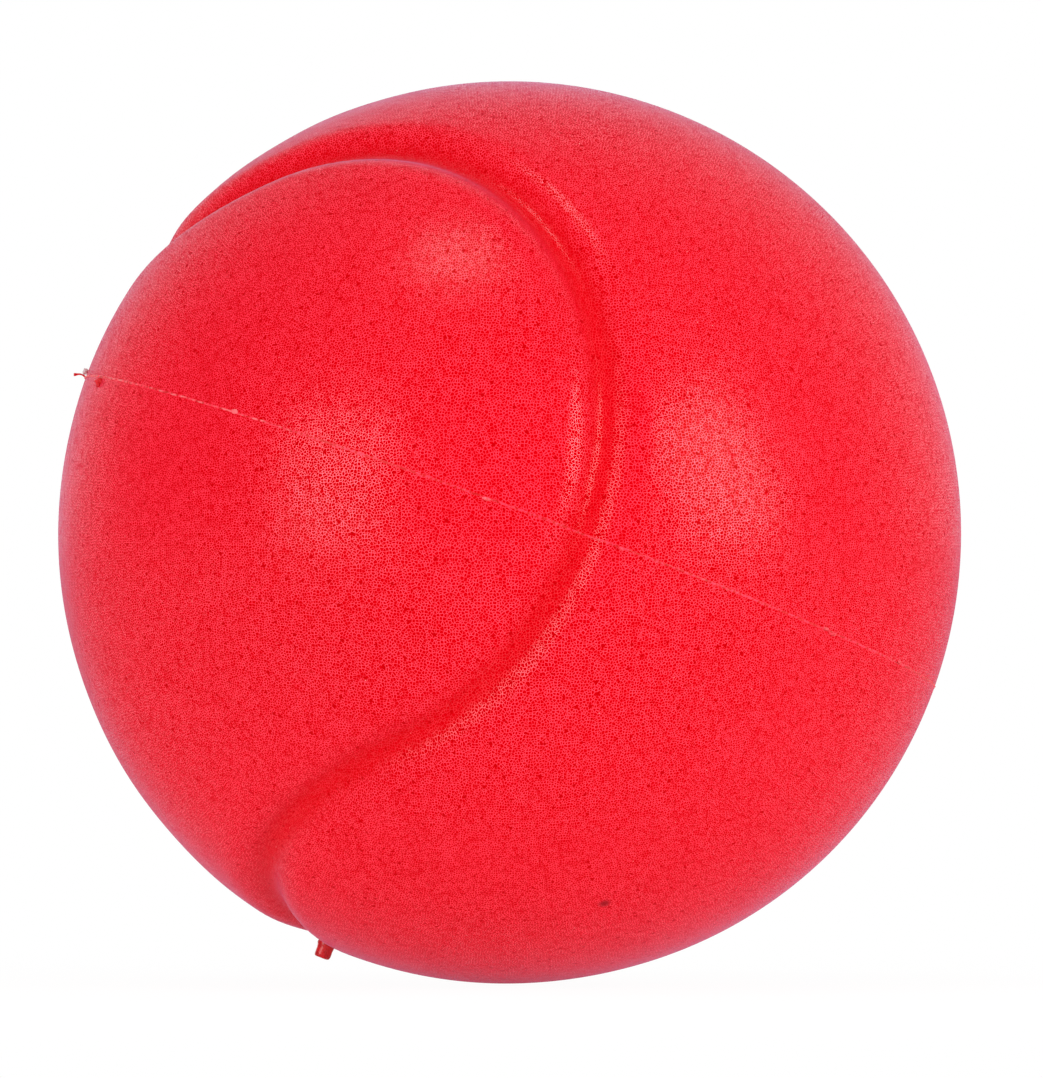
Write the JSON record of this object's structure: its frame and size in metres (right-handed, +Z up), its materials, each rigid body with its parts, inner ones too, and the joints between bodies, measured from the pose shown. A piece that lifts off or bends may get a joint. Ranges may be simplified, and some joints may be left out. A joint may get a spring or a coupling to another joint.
{
  "type": "foam play ball",
  "caption": "Soft red moulded foam ball for throwing games, with a winding tennis-ball channel, a thin mould ridge and a small vent stub.",
  "frame": {"origin": "centre of the ball", "axes": "+Z up, +X to the right and +Y away from the viewer, with the ball lying as in the picture"},
  "size_m": [0.09, 0.0906, 0.09],
  "materials": {
    "ball_skin": "semi-gloss foam skin with fine open pores",
    "core_foam": "matt open-cell foam",
    "flash_film": "thin translucent film edge",
    "solid_pip": "gloss, solid and free of pores"
  },
  "bodies": {
    "root": {"foam_core": "core_foam", "upper_skin": "ball_skin", "lower_skin": "ball_skin", "parting_flash": "flash_film", "flash_strand": "flash_film", "flash_crumbs": "flash_film", "vent_pip": "solid_pip"}
  },
  "joints": []
}
